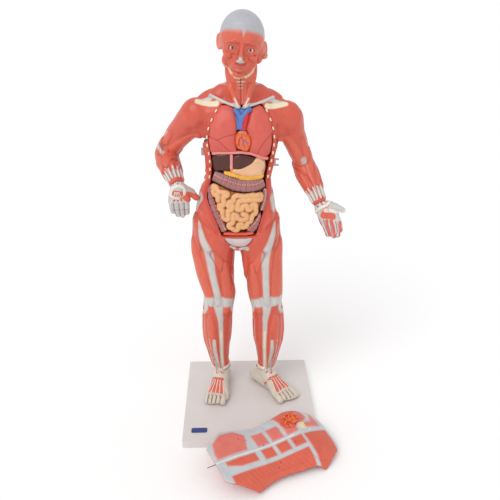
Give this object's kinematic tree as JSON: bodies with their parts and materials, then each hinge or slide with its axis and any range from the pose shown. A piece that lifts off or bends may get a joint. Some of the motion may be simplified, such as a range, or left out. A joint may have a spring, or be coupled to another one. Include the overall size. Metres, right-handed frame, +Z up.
{
  "type": "torso anatomy model",
  "caption": "Standing human muscle figure on a square board, with an open chest and belly that show the organs, and a loose chest and belly plate that lifts away",
  "frame": {"origin": "centre of the base board's underside", "axes": "+Z up along the figure, -Y the way the figure faces, +X towards the figure's left side"},
  "size_m": [0.2522, 0.2797, 0.5577],
  "materials": {
    "muscle": "moulded plastic, hand painted red muscle with grey tendons, satin varnish",
    "tendon": "moulded plastic, painted grey-white tendon and bone, satin varnish",
    "board": "pale grey laminate, satin",
    "label": "plain dark blue label",
    "steel": "plain steel",
    "dowel": "plain beech",
    "eye": "painted eyeball, glossy",
    "lung": "painted salmon red, satin",
    "heart": "painted orange-red with dark vessels, satin",
    "vein": "painted blue, satin",
    "artery": "painted bright red, satin",
    "membrane": "painted pink, satin",
    "liver": "painted dark brown, glossy",
    "stomach": "painted peach, satin",
    "fat": "painted yellow-orange, satin",
    "colon": "painted mauve-grey, satin",
    "gut": "painted peach-orange with brown creases, satin"
  },
  "bodies": {
    "figure": {"base_board": "board", "blank_label": "label", "trunk": "muscle", "head": "muscle", "right_eye": "eye", "left_eye": "eye", "right_arm": "muscle", "left_arm": "muscle", "right_hand": "tendon", "left_hand": "tendon", "right_leg": "muscle", "left_leg": "muscle", "right_lung": "lung", "left_lung": "lung", "heart": "heart", "vena_cava": "vein", "aorta": "artery", "diaphragm": "membrane", "liver_right_lobe": "liver", "liver_left_lobe": "liver", "falciform_ligament": "membrane", "stomach": "stomach", "greater_omentum": "fat", "transverse_colon": "colon", "ascending_colon": "colon", "descending_colon": "colon", "sigmoid_colon": "colon", "small_intestine": "gut", "bladder": "heart", "pubic_insert": "tendon", "right_side_catch": "steel", "left_side_catch": "steel", "neck_dowel": "dowel", "right_shoulder_dowel": "dowel", "left_shoulder_dowel": "dowel", "right_hip_dowel": "dowel", "left_hip_dowel": "dowel", "right_wrist_pin": "steel", "left_wrist_pin": "steel", "right_foot_screw_1": "steel", "right_foot_screw_2": "steel", "left_foot_screw_1": "steel", "left_foot_screw_2": "steel"},
    "plate": {"chest_plate": "muscle", "mammary_gland": "fat", "plate_pin": "steel"}
  },
  "joints": [
    {"name": "plate_lift", "type": "slide", "parent": "figure", "child": "plate", "axis": [0, 0, 1], "range_m": [0, 0.12]}
  ]
}
